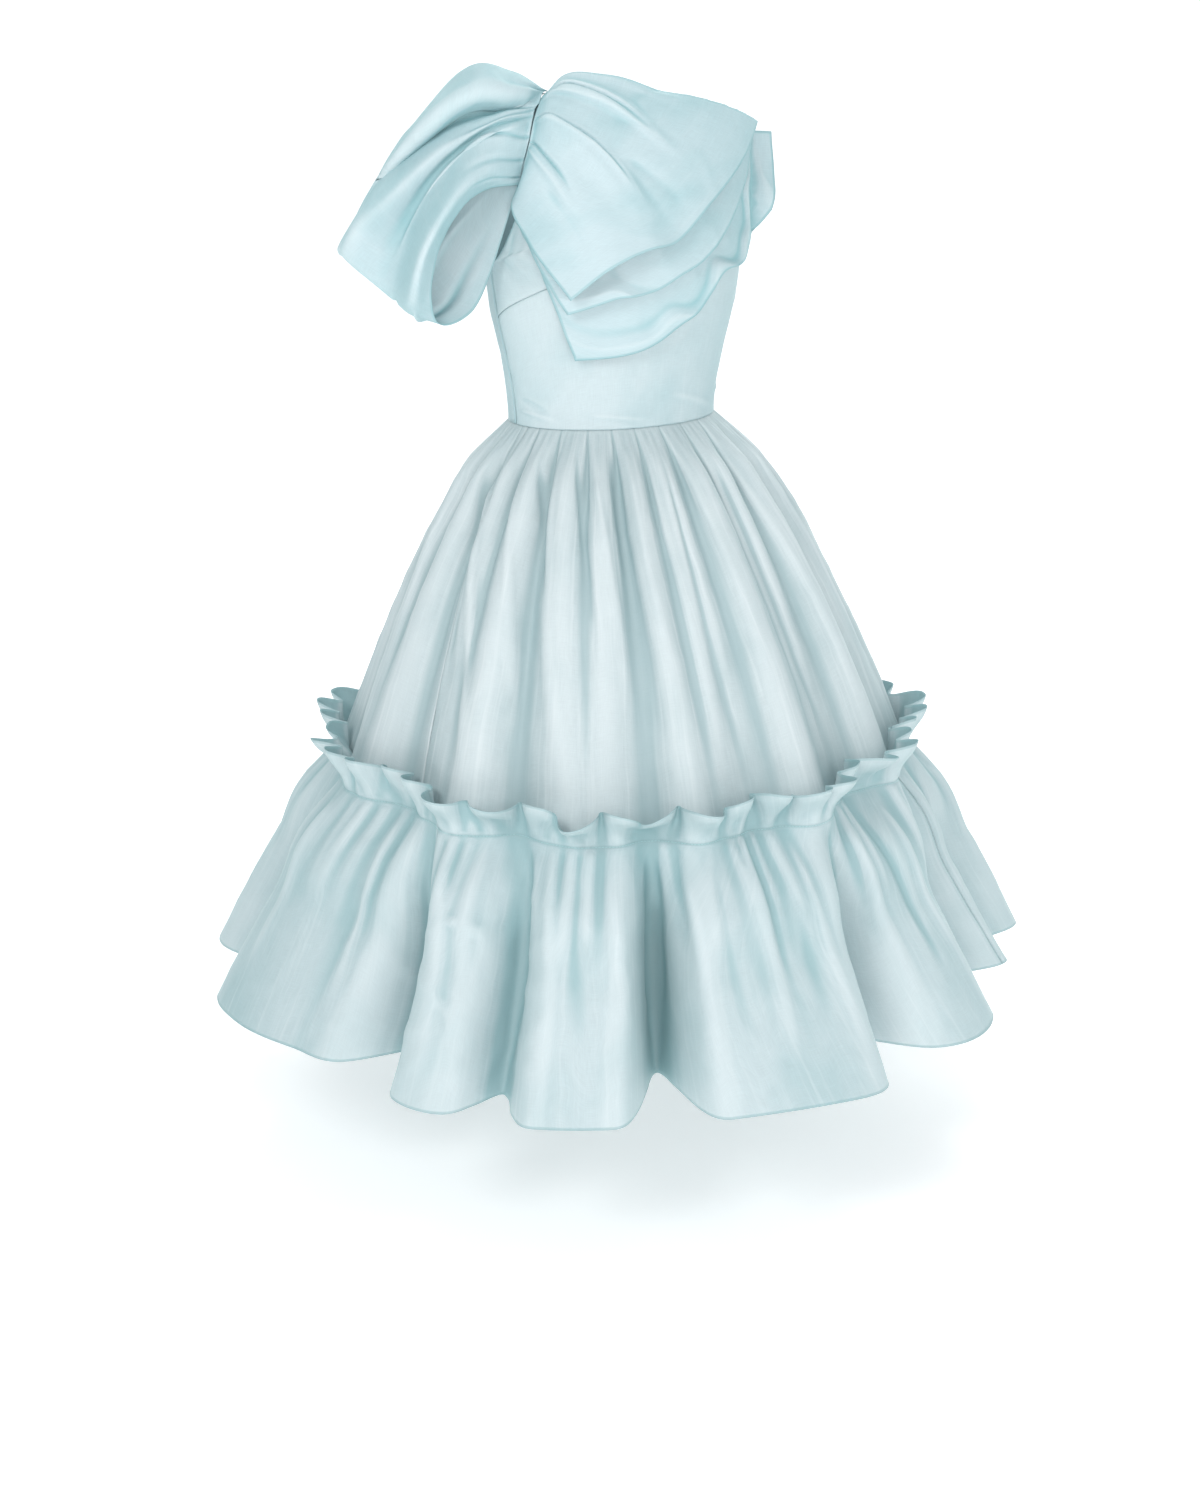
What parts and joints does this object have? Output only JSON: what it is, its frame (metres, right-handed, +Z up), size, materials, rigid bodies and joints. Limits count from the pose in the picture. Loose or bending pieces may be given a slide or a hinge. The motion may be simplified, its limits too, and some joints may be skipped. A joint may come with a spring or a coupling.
{
  "type": "midi gown",
  "caption": "One-shoulder midi gown with a layered chest bow and a draped arm loop, a full pleated skirt and a deep flounce gathered on under a standing ruffled heading.",
  "frame": {"origin": "top of the wearer's right shoulder, where the strap rests", "axes": "+Z up, -Y the front, +X the wearer's left; the body's upright axis stands at x = 0.110 m, y = 0"},
  "size_m": [1.0712, 1.0746, 1.1446],
  "materials": {
    "bodice_cloth": "silky organza over a close lining, soft sheen",
    "skirt_cloth": "silky organza, slightly sheer, greyer over its own layers",
    "flounce_cloth": "crisp silky organza, slightly sheer, narrow hem",
    "bow_cloth": "crisp silky organza, doubled, soft sheen",
    "zip_tape": "woven tape with fine coil teeth",
    "zip_metal": "bright metal"
  },
  "bodies": {
    "gown": {"bodice_front_upper": "bodice_cloth", "bodice_front_lower": "bodice_cloth", "bodice_back_right": "bodice_cloth", "bodice_back_left": "bodice_cloth", "zip_teeth": "zip_tape", "zip_slider": "zip_metal", "skirt_front": "skirt_cloth", "skirt_back_left": "skirt_cloth", "skirt_back_right": "skirt_cloth", "flounce_front": "flounce_cloth", "flounce_left": "flounce_cloth", "flounce_right": "flounce_cloth", "bow_layer_top": "bow_cloth", "bow_layer_middle": "bow_cloth", "bow_layer_under": "bow_cloth", "bow_loop": "bow_cloth"},
    "pull": {"zip_pull": "zip_metal"}
  },
  "joints": [
    {"name": "pull_hinge", "type": "hinge", "parent": "gown", "child": "pull", "pos_m": [0.11, 0.10684, -0.1252], "axis": [1, 0, 0], "range_deg": [0, 150]}
  ]
}
